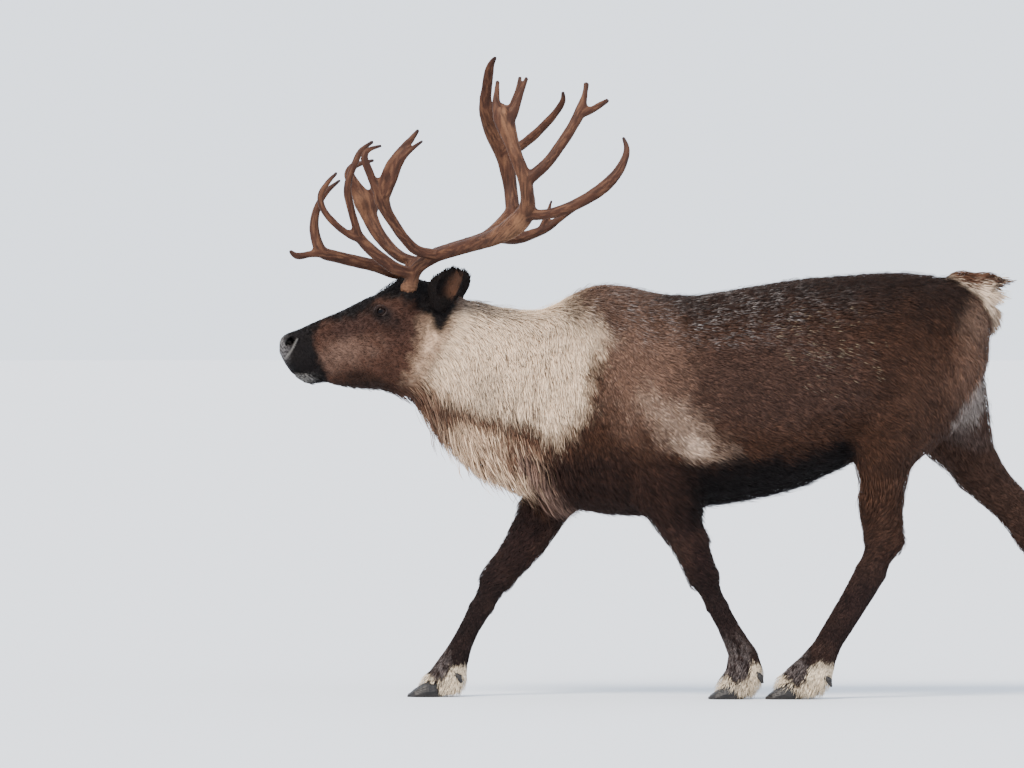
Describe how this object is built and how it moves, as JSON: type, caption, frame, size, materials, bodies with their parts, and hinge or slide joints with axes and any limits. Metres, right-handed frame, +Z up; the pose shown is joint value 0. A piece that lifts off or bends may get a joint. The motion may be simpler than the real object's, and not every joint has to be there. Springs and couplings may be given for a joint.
{
  "type": "reindeer",
  "caption": "Life-size still model of a bull reindeer in mid stride, with branched antlers, a pale neck ruff and dark coat.",
  "frame": {"origin": "bottom centre of the whole model's box, on the floor between the feet", "axes": "+Z up, -X towards the nose, the animal's left side is -Y"},
  "size_m": [2.3092, 0.835, 1.7938],
  "materials": {
    "coat_dark": "dense short hair, very dark brown",
    "coat_brown": "dense hair, brown with darker and paler fields",
    "coat_pale": "long cream-white hair",
    "antler": "cleaned bone, brown, half matt",
    "hoof": "grey-black horn, worn matt",
    "eye": "wet, near black"
  },
  "bodies": {
    "root": {"antler_left_beam": "antler", "antler_left_brow": "antler", "antler_left_bez": "antler", "antler_left_upright": "antler", "antler_left_rear": "antler", "antler_left_back": "antler", "ear_left": "coat_dark", "eye_left": "eye", "antler_right_beam": "antler", "antler_right_brow": "antler", "antler_right_bez": "antler", "antler_right_upright": "antler", "antler_right_rear": "antler", "antler_right_back": "antler", "ear_right": "coat_dark", "eye_right": "eye", "leg_fore_left_upper": "coat_dark", "leg_fore_left_lower": "coat_dark", "hoof_fore_left_left": "hoof", "dewclaw_fore_left_left": "hoof", "hoof_fore_left_right": "hoof", "dewclaw_fore_left_right": "hoof", "leg_fore_right_upper": "coat_dark", "leg_fore_right_lower": "coat_dark", "hoof_fore_right_left": "hoof", "dewclaw_fore_right_left": "hoof", "hoof_fore_right_right": "hoof", "dewclaw_fore_right_right": "hoof", "leg_hind_left_upper": "coat_dark", "leg_hind_left_lower": "coat_dark", "hoof_hind_left_left": "hoof", "dewclaw_hind_left_left": "hoof", "hoof_hind_left_right": "hoof", "dewclaw_hind_left_right": "hoof", "leg_hind_right_upper": "coat_dark", "leg_hind_right_lower": "coat_dark", "hoof_hind_right_left": "hoof", "dewclaw_hind_right_left": "hoof", "hoof_hind_right_right": "hoof", "dewclaw_hind_right_right": "hoof", "head": "coat_brown", "neck": "coat_pale", "torso": "coat_brown", "tail": "coat_pale"}
  },
  "joints": []
}
